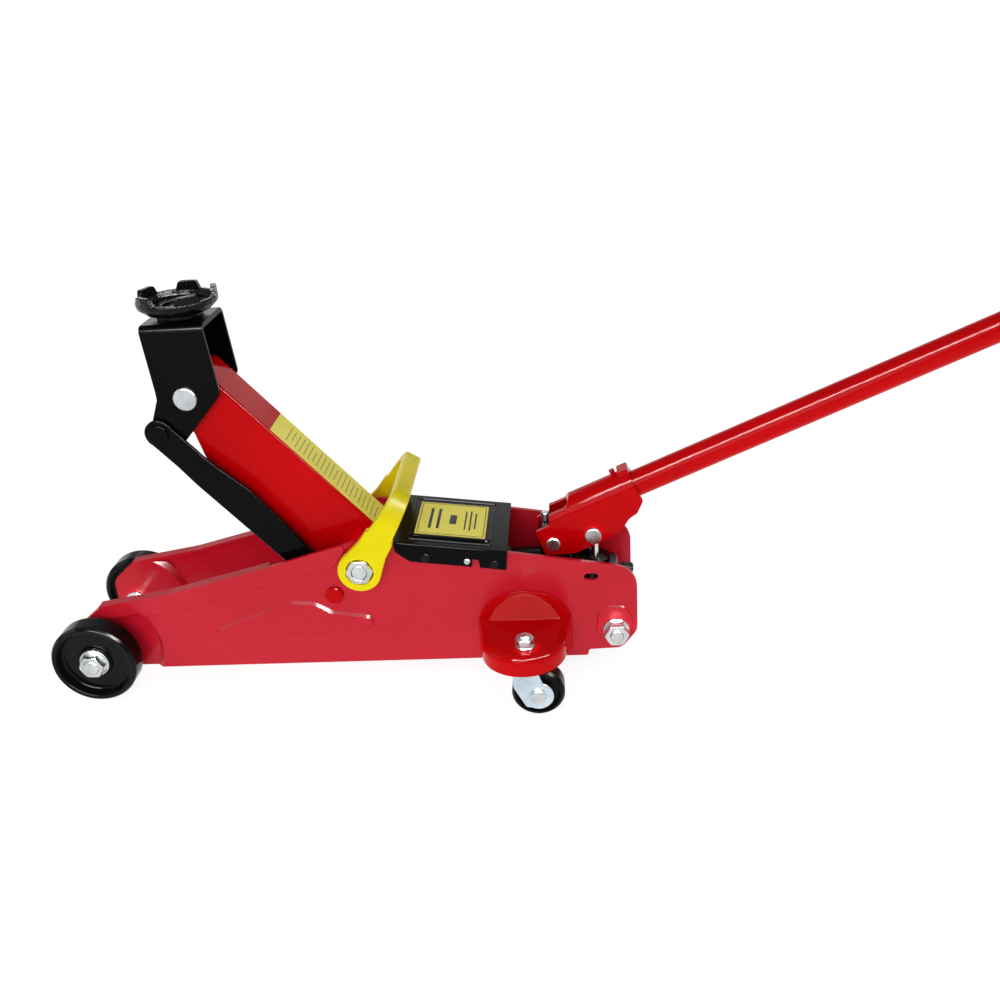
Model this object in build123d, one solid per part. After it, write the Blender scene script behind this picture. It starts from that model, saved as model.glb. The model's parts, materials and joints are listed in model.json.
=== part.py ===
from build123d import *
import os
from math import atan2, cos, degrees, hypot, radians, sin, tan

# Trolley jack, two-tonne class, shown with its arm raised and its handle about a third up.
# Millimetres, +Z up, +X from the saddle end towards the handle, -Y the left side.
# Shapes are drawn from the front axle's line: x = 0 on the axle, z = 0 on the ground.
# put() moves each one so that the origin is on the ground at the middle of the jack.

# ---- driving dimensions -------------------------------------------------------------
SHEET = 3.0                     # frame side plates
FRAME_OUT = 38.5                # outer face of a side plate, from the middle
FRAME_IN = FRAME_OUT - SHEET
FLANGE_IN = 31.0                # inner edge of the side plates' turned-in flanges
STRIP_STEP = 1.5                # the plates' top strip stands this far proud
EAR_STEP = 4.0                  # the plates step in this far round the front wheels
EAR_R = 47.0                    # radius of that step, about the front axle
FIT = 0.05                      # radial running clearance of pins and shafts
GAP = 0.4                       # side clearance between parts that turn on each other

WHEEL_R = 33.1
WHEEL_IN = 44.4                 # inner and outer faces of the front wheels
WHEEL_OUT = 63.4
AXLE_R = 6.0
HUB_FACE = WHEEL_OUT - 4.6      # bottom of the wheel's dish, where its nut sits

PIVOT = (213.3, 99.5)           # lift arm's main pivot (x, z)
ARM_TIP = (100.8, 231.5)        # pin between lift arm and saddle bracket
LINK_OFFSET = (-23.8, -25.0)    # link pins from the arm's pins, at both ends
BOLT_R = 6.0
ARM_OUT = 18.8                  # outer face of the lift arm's sides
ARM_TOP = 22.0                  # top face above the line through the arm's pins
CRANK_R = 45.0                  # main pivot to crank pin
CRANK_ANGLE = 248.0             # direction of the crank pin from the pivot, degrees
CRANK_PIN_R = 6.0

BRACKET_OUT = 24.9              # outer face of the saddle bracket's sides
BRACKET_TOP = 284.6
SADDLE_X = 99.6
SADDLE_R = 28.8
SADDLE_TOP = 304.0
STEM_R = 8.0

RAM_Z = 58.8                    # centre line of the hydraulic ram
RAM_R = 9.0
BARREL_IN = 14.5
BARREL_OUT = 19.0
TANK_OUT = 27.0
TANK_IN = 24.6
TANK_FRONT = 263.0
BLOCK_FRONT = 349.0
BLOCK_REAR = 405.0

SOCKET_PIVOT = (356.0, 98.2)
PLUNGER_PIN = (386.3, 104.4)
SOCKET_OUT = 13.9               # outer face of the socket's wings
HANDLE_START = (430.2, 144.4)   # a point on the handle's centre line
HANDLE_TILT = 23.3
HANDLE_R = 10.1
HANDLE_IN = 46.0                # length of handle inside the socket, before HANDLE_START
LOWER_TUBE = 285.0              # length of the lower handle tube beyond HANDLE_START
HANDLE_LENGTH = 495.0           # from HANDLE_START to the end of the grip
GRIP_LENGTH = 105.0
GRIP_R = 13.2

REAR_BOLT = (401.2, 37.0)
REAR_R = 5.0
KING_R = 4.0
SWIVEL = (334.0, 86.0)          # caster king bolt: x, and distance from the middle
CASTER_TRAIL = 8.0
CASTER_R = 19.2
CASTER_HALF = 8.5               # half the caster wheel's width
LEDGE_TOP = 55.0
LEDGE_SHEET = 2.6
LEDGE_R = 31.0
LEDGE_CENTRE = (332.5, 71.5)    # centre of the ledge's round end: x, distance from middle
LIP_LOW = 39.6                  # lower edge of the ledge's turned-down lip

BAIL_TILT = 57.0                # carry bail's lean, degrees up from the rear
BAIL_R = 68.5                   # main pivot to the outside of its grip
BAIL_OUT = 50.0
BAIL_IN = 43.2

# ---- places worked out from them -----------------------------------------------------
LINK_PIVOT = (PIVOT[0] + LINK_OFFSET[0], PIVOT[1] + LINK_OFFSET[1])
LINK_TIP = (ARM_TIP[0] + LINK_OFFSET[0], ARM_TIP[1] + LINK_OFFSET[1])
ARM_LENGTH = hypot(ARM_TIP[0] - PIVOT[0], ARM_TIP[1] - PIVOT[1])
ARM_ANGLE = degrees(atan2(ARM_TIP[1] - PIVOT[1], ARM_TIP[0] - PIVOT[0]))
CRANK = (PIVOT[0] + CRANK_R * cos(radians(CRANK_ANGLE)),
         PIVOT[1] + CRANK_R * sin(radians(CRANK_ANGLE)))
HANDLE_END = (HANDLE_START[0] + HANDLE_LENGTH * cos(radians(HANDLE_TILT))
              + GRIP_R * sin(radians(HANDLE_TILT)))
AXLE_X = (WHEEL_R - HANDLE_END) / 2
SIDES = (-1, 1)                 # left, right
SIDE_NAMES = {-1: "left", 1: "right"}


def put(name, shape):
    """Write one node, moved from the front axle's datum to the origin."""
    moved = Pos(AXLE_X, 0, 0) * shape
    export_step(Compound(children=list(moved.solids())), f"parts/{name}.step")


# ---- helpers ---------------------------------------------------------------------------
def outline(corners):
    """Closed face from (u, v, corner radius) points."""
    face = make_face(Polyline(*[(u, v) for u, v, _ in corners], close=True))
    for u, v, radius in corners:
        if radius:
            corner = face.vertices().sort_by_distance((u, v, 0))[0]
            face = fillet(corner, radius)
    return face


def slab(face, y_low, y_high):
    """Extrude an X-Z outline between two values of y."""
    return Pos(0, y_high, 0) * extrude(Plane.XZ * face, y_high - y_low)


def rod(x, z, radius, y_low, y_high):
    """Cylinder along Y."""
    return Pos(x, (y_low + y_high) / 2, z) * Rot(90, 0, 0) * Cylinder(radius, y_high - y_low)


def bar(z, radius, x_low, x_high, y=0):
    """Cylinder along X."""
    return Pos((x_low + x_high) / 2, y, z) * Rot(0, 90, 0) * Cylinder(radius, x_high - x_low)


def post(x, y, radius, z_low, z_high):
    """Cylinder along Z."""
    return Pos(x, y, (z_low + z_high) / 2) * Cylinder(radius, z_high - z_low)


def mirrored(shape):
    """The same shape on the other side of the middle plane."""
    return mirror(shape, about=Plane.XZ)


def on_side(shape, side):
    """A left-hand shape, or its mirror image for the right."""
    return shape if side < 0 else mirrored(shape)


def hex_prism(flats, height, bore=0.0, chamfer_top=True):
    """Nut or bolt head standing on z = 0, its outer corners taken off."""
    nut = extrude(RegularPolygon(flats / 2, 6, major_radius=False), height)
    if chamfer_top:
        corner_r = flats / 2 / cos(radians(30))
        drop = (corner_r - flats / 2) * 0.6
        dome = Cylinder(corner_r + 0.01, height, align=(Align.CENTER, Align.CENTER, Align.MIN))
        top_edge = dome.edges().group_by(Axis.Z)[-1]
        nut = nut & chamfer(top_edge, drop, (corner_r - flats / 2) * 1.25)
    if bore:
        nut = nut - Cylinder(bore, 4 * height)
    return nut


def facing_out(shape, x, z, distance):
    """Turn a shape standing on z = 0 so that it points to the left, based at y = -distance."""
    return Pos(x, -distance, z) * Rot(90, 0, 0) * shape


def flange_nut(flats, flange_r, height, bore):
    """Nut with a tapered round flange under its hexagon."""
    flange = Cone(flange_r, flats / 2 + 0.6, 2.6, align=(Align.CENTER, Align.CENTER, Align.MIN))
    rim = Cylinder(flange_r, 1.0, align=(Align.CENTER, Align.CENTER, Align.MIN))
    nut = flange + rim + hex_prism(flats, height)
    return nut - Cylinder(bore, 4 * height)


def in_arm_frame(face):
    """Place a sketch drawn in (along the arm, above the arm) into the X-Z plane."""
    return Pos(PIVOT[0], PIVOT[1]) * Rot(0, 0, ARM_ANGLE) * mirror(face, about=Plane.XZ)


# ---- frame -----------------------------------------------------------------------------
def frame_outline():
    """Side plate's outline, clockwise from the front."""
    return outline([
        (-15.5, 54.0, 13), (5.5, 71.0, 1.5), (60.0, 80.0, 60), (142.0, 100.6, 60),
        (209.0, 119.4, 14), (237.0, 116.5, 30), (323.0, 105.5, 60), (417.3, 88.9, 18.5),
        (417.3, 35.0, 13), (405.5, 19.6, 10), (380.4, 18.6, 2), (379.4, 13.4, 1.5),
        (6.0, 13.3, 10), (-15.5, 26.0, 13)])


def strip_face():
    """Band along the front top edge that is pressed outwards."""
    return outline([
        (-40.0, 60.0, 0), (-40.0, 110.0, 0), (190.0, 160.0, 0), (203.0, 112.0, 0),
        (192.0, 97.6, 8), (178.0, 94.8, 20), (66.0, 63.4, 20), (30.0, 59.0, 0)])


def gusset_rib():
    """Long triangular swage that stiffens the plate below the arm."""
    return outline([
        (90.0, 46.5, 3.5), (154.0, 71.0, 9), (174.0, 68.2, 9), (186.0, 60.5, 9),
        (213.0, 56.0, 6), (220.5, 47.5, 6), (209.0, 41.0, 6), (95.0, 41.0, 4)])


def rear_boss():
    """Shallow pad pressed round the rear tie bolt."""
    return outline([
        (386.0, 28.0, 8), (387.0, 50.0, 8), (394.0, 57.0, 6), (407.0, 57.0, 6),
        (414.0, 48.0, 8), (413.0, 30.0, 8), (402.0, 25.5, 8)])


def pressed(plate, face, depth, y_face, blank):
    """Press a region of the left plate outwards by depth, with sloping edges."""
    raised = Pos(0, y_face, 0) * extrude(Plane.XZ * face, depth, taper=40)
    hollow = Pos(0, SHEET, 0) * raised
    return plate - (hollow & blank) + (raised & blank)


def side_plate():
    """Left side plate: outline, steps, flanges, swages and holes."""
    face = frame_outline()
    plate = slab(face, -FRAME_OUT, -FRAME_IN)
    room = slab(face, -FRAME_OUT - 9, -FRAME_IN + 9)
    for region, depth in ((strip_face(), STRIP_STEP), (gusset_rib(), 2.2), (rear_boss(), 1.0)):
        plate = pressed(plate, region, depth, -FRAME_OUT, room)
    cone = Cone(EAR_R, EAR_R - EAR_STEP, EAR_STEP, align=(Align.CENTER, Align.CENTER, Align.MIN))
    front_room = slab(face, -FRAME_OUT - 9, -FLANGE_IN + 1) & Box(200, 200, 400)
    step_in = Pos(0, -FRAME_OUT, WHEEL_R) * Rot(-90, 0, 0) * cone
    proud = Pos(0, -FRAME_OUT - STRIP_STEP, WHEEL_R) * Rot(-90, 0, 0) * Cylinder(
        EAR_R, STRIP_STEP, align=(Align.CENTER, Align.CENTER, Align.MIN))
    behind = Pos(0, SHEET, 0) * step_in
    plate = plate + (behind & front_room) - step_in - (proud & Pos(0, 0, -11.5) * room)
    top = outline([(4.0, 70.9, 0), (60.0, 80.0, 60), (142.0, 100.6, 0),
                   (142.6, 97.9, 0), (60.4, 77.3, 60), (4.4, 68.2, 0)])
    plate = plate + slab(top, -FRAME_OUT - 0.9, -FLANGE_IN)
    low = outline([(44.0, 13.33, 0), (286.0, 13.38, 0), (286.0, 16.4, 0), (44.0, 16.4, 0)])
    plate = plate + slab(low, -FRAME_IN - 1, -FLANGE_IN + 3)
    for x, z, radius in ((0, WHEEL_R, AXLE_R), (*PIVOT, BOLT_R), (*LINK_PIVOT, 5.0),
                         (*REAR_BOLT, REAR_R)):
        plate = plate - rod(x, z, radius, -FRAME_OUT - 5, -FLANGE_IN + 5)
    slot = Pos(383.4, 82.7) * SlotOverall(10.5, 5.4)
    plate = plate - slab(slot, -FRAME_OUT - 5, -FLANGE_IN)
    for x in CASTER_RIVET_X:
        plate = plate - rod(x, CASTER_RIVET_Z, 2.5, -FRAME_OUT - 5, -FLANGE_IN)
    return plate


CASTER_RIVET_X = (304.8, 360.2)
CASTER_RIVET_Z = 34.0


def front_axle():
    """Bar through both side plates, with a collar inside each and a thread at each end."""
    axle = rod(0, WHEEL_R, AXLE_R, -WHEEL_OUT - 4.6, WHEEL_OUT + 4.6)
    axle = chamfer(axle.edges().group_by(Axis.Y)[0], 1)
    axle = chamfer(axle.edges().group_by(Axis.Y)[-1], 1)
    collar = rod(0, WHEEL_R, 9.5, -FLANGE_IN - EAR_STEP + 3.5, -FLANGE_IN + 2.5)
    outer = rod(0, WHEEL_R, 11.0, -WHEEL_IN + GAP, -FRAME_OUT + EAR_STEP)
    return axle + collar + mirrored(collar) + outer + mirrored(outer)


def axle_nuts():
    """Flanged nuts in the dishes of the front wheels."""
    nut = facing_out(flange_nut(17.0, 11.4, 7.6, AXLE_R), 0, WHEEL_R, HUB_FACE + GAP)
    return nut + mirrored(nut)


def main_pivot_bolt():
    """Bolt that carries the lift arm and the bail, its head on the right."""
    shank = rod(*PIVOT, BOLT_R, -BAIL_OUT - 1.2, BAIL_IN + 1.6 + GAP)
    shank = chamfer(shank.edges().group_by(Axis.Y)[0], 0.9)
    head = mirrored(facing_out(hex_prism(18.0, 7.0), *PIVOT, BAIL_IN + 1.6 + GAP))
    return shank + head


def main_pivot_nut():
    return facing_out(hex_prism(18.0, 6.2, BOLT_R), *PIVOT, BAIL_IN + 1.6 + GAP)


def pivot_spacers():
    """Sleeves between the lift arm and the side plates."""
    sleeve = rod(*PIVOT, 11.5, -FRAME_IN, -ARM_OUT - GAP)
    sleeve = sleeve - rod(*PIVOT, BOLT_R, -FRAME_OUT, 0)
    return sleeve + mirrored(sleeve)


def link_rivets():
    """Shouldered rivets on which the links turn, headed over outside the plates."""
    head = rod(*LINK_PIVOT, 6.9, -FRAME_OUT - 2.6, -FRAME_OUT)
    head = chamfer(head.edges().group_by(Axis.Y)[0], 0.9)
    shank = rod(*LINK_PIVOT, 5.0, -FRAME_OUT, -LINK_LOW_IN + GAP)
    shoulder = rod(*LINK_PIVOT, 8.0, -FRAME_IN, -LINK_LOW_OUT - GAP)
    cap = rod(*LINK_PIVOT, 7.5, -LINK_LOW_IN + GAP, -LINK_LOW_IN + GAP + 1.8)
    rivet = head + shank + shoulder + cap
    return rivet + mirrored(rivet)


def rear_tie():
    """Bolt across the rear of the frame, its head on the right."""
    shank = rod(*REAR_BOLT, REAR_R, -FRAME_OUT - 13.0, FRAME_OUT + 1)
    shank = chamfer(shank.edges().group_by(Axis.Y)[0], 1.0)
    return shank + mirrored(facing_out(hex_prism(16.2, 7.0), *REAR_BOLT, FRAME_OUT + 1))


def rear_tie_nut():
    washer = Cylinder(9.8, 2.2, align=(Align.CENTER, Align.CENTER, Align.MIN))
    nut = Pos(0, 0, 2.2) * hex_prism(16.2, 8.4)
    return facing_out(washer + nut - Cylinder(REAR_R, 60), *REAR_BOLT, FRAME_OUT + 1)


def rear_tie_sleeves():
    """Sleeves that hold the power unit in the middle of the frame."""
    sleeve = rod(*REAR_BOLT, 9.0, -FRAME_IN, -BLOCK_HALF) - rod(*REAR_BOLT, REAR_R, -60, 0)
    return sleeve + mirrored(sleeve)


# ---- caster brackets ---------------------------------------------------------------------
def ledge_plan(inset, near):
    """Plan of the ledge as (x, distance from the middle): two sides and a round end."""
    cx, cy = LEDGE_CENTRE
    radius = LEDGE_R - inset
    wide = 35.5 - inset
    sides = Polyline((cx - radius, cy), (cx - wide, near), (cx + wide, near), (cx + radius, cy))
    end = ThreePointArc((cx + radius, cy), (cx, cy + radius), (cx - radius, cy))
    return make_face(sides + end)


def caster_bracket():
    """Pressed pocket for the left caster: back flange, sloping apron, ledge and lip."""
    cx = LEDGE_CENTRE[0]
    shell = extrude(mirror(ledge_plan(0, FRAME_OUT), about=Plane.XZ), LEDGE_TOP)
    shell = fillet(shell.edges().group_by(Axis.Z)[-1].filter_by_position(
        Axis.Y, -200, -FRAME_OUT - 0.5), 6.5)
    hollow = extrude(mirror(ledge_plan(LEDGE_SHEET, FRAME_OUT - 1), about=Plane.XZ),
                     LEDGE_TOP - LEDGE_SHEET)
    hollow = fillet(hollow.edges().group_by(Axis.Z)[-1].filter_by_position(
        Axis.Y, -200, -FRAME_OUT), 2.0)
    shell = shell - hollow
    skirt = make_face(Polyline((-30, -1), (-38.4, 20.5), (-76, LIP_LOW), (-110, LIP_LOW),
                               (-110, -1), close=True))
    shell = shell - Pos(cx - 50, 0, 0) * extrude(Plane.YZ * skirt, 100)
    arch = outline([(cx - 35.5, 20.5, 2), (cx - 35.5, 44.7, 0), (cx + 35.5, 44.7, 0),
                    (cx + 35.5, 20.5, 2)]) + Pos(cx, 44.7) * Ellipse(35.5, 28.6)
    window = outline([(cx - 21.0, 10.0, 0), (cx - 21.0, 34.0, 8), (cx + 21.0, 34.0, 8),
                      (cx + 21.0, 10.0, 0)])
    back = slab(arch, -FRAME_OUT - LEDGE_SHEET, -FRAME_OUT) - slab(window, -60, 0)
    slope = make_face(Polyline((-FRAME_OUT, 75.0), (-FRAME_OUT - 3.4, 75.0),
                               (-FRAME_OUT - 3.4, 71.0), (-52.0, LEDGE_TOP - 0.5),
                               (-FRAME_OUT, LEDGE_TOP - 0.5), close=True))
    dome = Pos(cx, 44.7) * Ellipse(29.0, 26.2)
    apron = (Pos(cx - 30, 0, 0) * extrude(Plane.YZ * slope, 60)) & slab(dome, -60, -FRAME_OUT)
    hole = post(SWIVEL[0], -SWIVEL[1], KING_R, 0, 100)
    bracket = shell + back + apron - hole
    for x in CASTER_RIVET_X:
        bracket = bracket - rod(x, CASTER_RIVET_Z, 2.5, -60, 0)
    return bracket


def caster_rivets():
    """Rivets through the bracket flanges and the side plates."""
    group = None
    for x in CASTER_RIVET_X:
        shank = rod(x, CASTER_RIVET_Z, 2.5, -FRAME_OUT - LEDGE_SHEET, -FRAME_IN)
        head = rod(x, CASTER_RIVET_Z, 3.9, -FRAME_OUT - LEDGE_SHEET - 1.6,
                   -FRAME_OUT - LEDGE_SHEET)
        head = chamfer(head.edges().group_by(Axis.Y)[0], 0.8)
        tail = rod(x, CASTER_RIVET_Z, 4.0, -FRAME_IN, -FRAME_IN + 1.4)
        rivet = shank + head + tail
        group = rivet if group is None else group + rivet
    return group + mirrored(group)


def king_bolts():
    """Caster king bolts: head under the fork's crown, thread up through the ledge."""
    x, y = SWIVEL[0], -SWIVEL[1]
    shank = post(x, y, KING_R, 40.8, LEDGE_TOP + 9.4)
    shank = chamfer(shank.edges().group_by(Axis.Z)[-1], 0.8)
    head = post(x, y, 6.8, 38.9, 40.9)
    bolt = shank + head
    return bolt + mirrored(bolt)


def king_nuts():
    x, y = SWIVEL[0], -SWIVEL[1]
    nut = Pos(x, y, LEDGE_TOP) * (Cylinder(7.2, 1.6, align=(Align.CENTER, Align.CENTER, Align.MIN))
                                  + Pos(0, 0, 1.6) * hex_prism(12.0, 6.0))
    nut = nut - post(x, y, KING_R, 0, 100)
    return nut + mirrored(nut)


def caster_races():
    """Upper ball cups of the swivels, fixed under the ledges."""
    x, y = SWIVEL[0], -SWIVEL[1]
    low = LEDGE_TOP - LEDGE_SHEET - 6.0
    cup = post(x, y, 11.8, low, LEDGE_TOP - LEDGE_SHEET)
    cup = fillet(cup.edges().group_by(Axis.Z)[0], 1.6)
    cup = cup - post(x, y, KING_R, 0, 100)
    return cup + mirrored(cup)


def caster_fork():
    """Left fork: round crown on the king bolt and two legs down to the axle."""
    x, y = SWIVEL[0], -SWIVEL[1]
    crown_low, crown_high = 41.2, 46.0
    crown = post(x, y, 13.2, crown_low, crown_high) - post(x, y, KING_R + FIT, 0, 100)
    crown = fillet(crown.edges().group_by(Axis.Z)[0].sort_by(SortBy.LENGTH)[-1], 1.0)
    inner = CASTER_HALF + 0.6
    outer = inner + 2.2
    axle = (x + CASTER_TRAIL, CASTER_R)
    leg = outline([(x - 6.2, crown_low + 2.4, 0), (x + 6.2, crown_low + 2.4, 0),
                   (x + 9.6, 36.0, 3), (x + 11.5, 30.0, 6), (axle[0] + 12, 20.0, 6),
                   (axle[0] + 4, 8.4, 3), (axle[0] - 9, 9.6, 4), (x - 9.6, 27.0, 8),
                   (x - 9.6, 37.0, 2)])
    lobe = Pos(*axle) * Circle(11.2)
    leg = leg + lobe
    legs = slab(leg, y - outer, y - inner) + slab(leg, y + inner, y + outer)
    legs = legs - rod(*axle, 3.6, -200, 0)
    neck = Box(12.4, 2 * outer, 5.0)
    web = (Pos(x, y, crown_low + 2.4) * neck) & post(x, y, 13.2, 30, 60)
    web = web - post(x, y, 7.4, 0, 41.2) - post(x, y, KING_R + FIT, 0, 100)
    return crown + legs + web


def caster_axle():
    """Left caster's riveted axle."""
    x, y = SWIVEL[0] + CASTER_TRAIL, -SWIVEL[1]
    face = CASTER_HALF + 2.8
    pin = rod(x, CASTER_R, 3.6, y - face, y + face)
    head = rod(x, CASTER_R, 5.8, y - face - 2.6, y - face)
    head = fillet(head.edges().group_by(Axis.Y)[0], 1.4)
    tail = rod(x, CASTER_R, 5.4, y + face, y + face + 1.8)
    return pin + head + tail


def caster_wheel():
    """Left caster wheel: rounded tread, dished sides and a hub."""
    x, y = SWIVEL[0] + CASTER_TRAIL, -SWIVEL[1]
    half = CASTER_HALF
    section = make_face(Polyline(
        (3.6 + FIT, -half), (7.2, -half), (7.8, -half + 2.4), (14.6, -half + 2.8),
        (15.6, -half + 0.4), (17.6, -half + 0.4), (CASTER_R, -half + 2.6),
        (CASTER_R, half - 2.6), (17.6, half - 0.4), (15.6, half - 0.4),
        (14.6, half - 2.8), (7.8, half - 2.4), (7.2, half), (3.6 + FIT, half), close=True))
    wheel = revolve(section, Axis.Y)
    return Pos(x, y, CASTER_R) * wheel


def front_wheel():
    """Left front wheel: wide tread, lipped rim, dished web and raised hub."""
    half = (WHEEL_OUT - WHEEL_IN) / 2
    mid = -(WHEEL_OUT + WHEEL_IN) / 2
    dish = WHEEL_OUT - HUB_FACE
    section = outline([
        (AXLE_R + FIT, -half + dish, 0), (12.6, -half + dish, 0.5), (13.4, -half + dish + 2.4, 0.8),
        (26.2, -half + dish + 2.8, 1.6), (28.6, -half + 0.6, 0.6), (31.2, -half, 1.2),
        (WHEEL_R, -half + 2.6, 1.6), (WHEEL_R, half - 2.6, 1.6), (31.0, half, 1.2),
        (28.6, half, 0.8), (26.4, half - 4.0, 1.2), (13.0, half - 4.0, 1.0),
        (12.0, half, 0.6), (AXLE_R + FIT, half, 0)])
    wheel = revolve(section, Axis.Y)
    return Pos(0, mid, WHEEL_R) * wheel


# ---- lift arm, links, saddle ----------------------------------------------------------------
def arm_profile():
    """Lift arm's side, in (along, above) from the main pivot."""
    turn = radians(CRANK_ANGLE - ARM_ANGLE)
    crank = (CRANK_R * cos(turn), -CRANK_R * sin(turn))
    body = outline([
        (-12.0, ARM_TOP, 10), (ARM_LENGTH + 8.0, ARM_TOP, 6), (ARM_LENGTH + 12.0, 2.0, 10),
        (ARM_LENGTH + 6.0, -14.0, 9), (ARM_LENGTH - 20.0, -20.0, 12), (ARM_LENGTH - 42.0, -31.0, 30),
        (70.0, -36.0, 60), (8.0, -52.0, 20), (crank[0] - 2.0, crank[1] - 14.0, 11),
        (crank[0] - 14.0, crank[1] - 4.0, 10), (-26.0, -14.0, 14), (-25.0, 8.0, 12)])
    return body


def lift_arm():
    """Folded box arm, open below, with holes for its pins."""
    arm = slab(in_arm_frame(arm_profile()), -ARM_OUT, ARM_OUT)
    top = [e for e in arm.edges() if is_top_edge(e)]
    arm = fillet(top, 2.5)
    room = make_face(Polyline((-90, -120), (-90, ARM_TOP - SHEET), (ARM_LENGTH + 60, ARM_TOP - SHEET),
                              (ARM_LENGTH + 60, -120), close=True))
    arm = arm - slab(in_arm_frame(room), -ARM_OUT + SHEET, ARM_OUT - SHEET)
    arm = arm - rod(*PIVOT, BOLT_R + FIT, -50, 50)
    arm = arm - rod(*CRANK, CRANK_PIN_R, -50, 50)
    return arm - rod(*ARM_TIP, 6.5 + FIT, -50, 50)


def is_top_edge(edge):
    """True for the long edges between the arm's top face and its sides."""
    middle = edge.position_at(0.5)
    along = radians(ARM_ANGLE)
    dx, dz = middle.X - PIVOT[0], middle.Z - PIVOT[1]
    above = dx * sin(along) - dz * cos(along)
    return edge.length > ARM_LENGTH * 0.8 and above > ARM_TOP - 1


def arm_pivot_tube():
    """Tube welded across the arm, turning on the main bolt."""
    half = ARM_OUT - SHEET
    return rod(*PIVOT, 13.0, -half, half) - rod(*PIVOT, BOLT_R + FIT, -50, 50)


def crank_pin():
    """Pin across the arm's crank, pushed by the ram."""
    pin = rod(*CRANK, CRANK_PIN_R, -ARM_OUT - 1.6, ARM_OUT + 1.6)
    pin = chamfer(pin.edges().group_by(Axis.Y)[0], 0.8)
    return chamfer(pin.edges().group_by(Axis.Y)[-1], 0.8)


def arm_label():
    """Plain label stuck on the arm's top face."""
    face = outline([(8.0, ARM_TOP, 0), (116.0, ARM_TOP, 0), (116.0, ARM_TOP + 0.3, 0),
                    (8.0, ARM_TOP + 0.3, 0)])
    return slab(in_arm_frame(face), -16.2, 16.2)


def bracket_side():
    """Saddle bracket's side, from its top corner down to the link pin."""
    return outline([
        (76.8, BRACKET_TOP, 0), (122.0, BRACKET_TOP, 0), (125.8, 235.4, 4), (123.6, 230.6, 3),
        (95.8, 200.6, 5), (87.0, 192.0, 8), (70.5, 196.0, 9), (66.0, 207.0, 8),
        (72.0, 213.0, 4), (79.4, 231.0, 3), (79.6, 236.0, 3)])


def saddle_bracket():
    """Upside-down U that carries the saddle between the arm's tip and the links."""
    inner = BRACKET_OUT - SHEET
    fold = outline([
        (-BRACKET_OUT, 150, 0), (-BRACKET_OUT, BRACKET_TOP, 5.6), (BRACKET_OUT, BRACKET_TOP, 5.6),
        (BRACKET_OUT, 150, 0), (inner, 150, 0), (inner, BRACKET_TOP - 3.6, 2.4),
        (-inner, BRACKET_TOP - 3.6, 2.4), (-inner, 150, 0)])
    strip = Pos(60, 0, 0) * extrude(Plane.YZ * fold, 90)
    bracket = slab(bracket_side(), -BRACKET_OUT, BRACKET_OUT) & strip
    bracket = bracket - rod(*ARM_TIP, 6.5, -50, 50)
    bracket = bracket - rod(*LINK_TIP, 5.0, -50, 50)
    return bracket - post(SADDLE_X, 0, STEM_R + FIT, 250, 300)


def arm_tip_pin():
    """Headed pin through bracket and arm."""
    pin = rod(*ARM_TIP, 6.5, -BRACKET_OUT, BRACKET_OUT)
    head = rod(*ARM_TIP, 8.6, -BRACKET_OUT - 2.8, -BRACKET_OUT)
    head = fillet(head.edges().group_by(Axis.Y)[0], 1.3)
    return pin + head + mirrored(head)


def link_tip_pins():
    """Short shouldered pins on the bracket, one for each link."""
    pin = rod(*LINK_TIP, 5.0, -LINK_TOP_OUT - GAP, -BRACKET_OUT + SHEET)
    head = rod(*LINK_TIP, 7.2, -LINK_TOP_OUT - GAP - 1.4, -LINK_TOP_OUT - GAP)
    head = fillet(head.edges().group_by(Axis.Y)[0], 0.8)
    tail = rod(*LINK_TIP, 7.0, -BRACKET_OUT + SHEET, -BRACKET_OUT + SHEET + 1.4)
    return pin + head + tail + mirrored(pin + head + tail)


LINK_SHEET = 3.4
LINK_TOP_IN = BRACKET_OUT + 0.5         # inner face at the bracket end
LINK_TOP_OUT = LINK_TOP_IN + LINK_SHEET
LINK_LOW_OUT = 30.5                     # outer face at the frame end
LINK_LOW_IN = LINK_LOW_OUT - LINK_SHEET


def link():
    """Left parallel link: a wide bar joggled outwards towards the frame."""
    length = ARM_LENGTH
    face = outline([
        (-10.5, -10.0, 9.5), (-10.5, 10.5, 9.5), (36.0, 10.4, 30), (62.0, 13.0, 20),
        (101.0, 14.9, 40), (141.0, 10.2, 30), (length + 10.5, 10.0, 9.5),
        (length + 10.5, -10.0, 9.5), (25.0, -10.6, 30)])
    ends = (Pos(0, 0) * Circle(10.4)) + (Pos(length, 0) * Circle(10.4))
    face = face + ends
    placed = Pos(PIVOT[0] + LINK_OFFSET[0], PIVOT[1] + LINK_OFFSET[1]) * (
        Rot(0, 0, ARM_ANGLE) * mirror(face, about=Plane.XZ))
    blank = slab(placed, -40, -10)
    far = length + 30
    start, stop = length - 44.0, length - 26.0
    strip = make_face(Polyline(
        (-30, -LINK_LOW_OUT), (start, -LINK_LOW_OUT), (stop, -LINK_TOP_OUT), (far, -LINK_TOP_OUT),
        (far, -LINK_TOP_IN), (stop, -LINK_TOP_IN), (start, -LINK_LOW_IN), (-30, -LINK_LOW_IN),
        close=True))
    joggle = Pos(0, 0, -60) * extrude(strip, 120)
    joggle = Pos(LINK_PIVOT[0], 0, LINK_PIVOT[1]) * Rot(0, -ARM_ANGLE, 0) * joggle
    bar_link = blank & joggle
    bar_link = bar_link - rod(*LINK_PIVOT, 5.0 + FIT, -50, 0)
    return bar_link - rod(*LINK_TIP, 5.0 + GAP, -50, 0)


LUGS = 5
LUG_ANGLE = 17.0                # direction of the first lug, degrees from +X
RIM_TOP = 298.4                 # saddle's rim between its lugs


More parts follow.
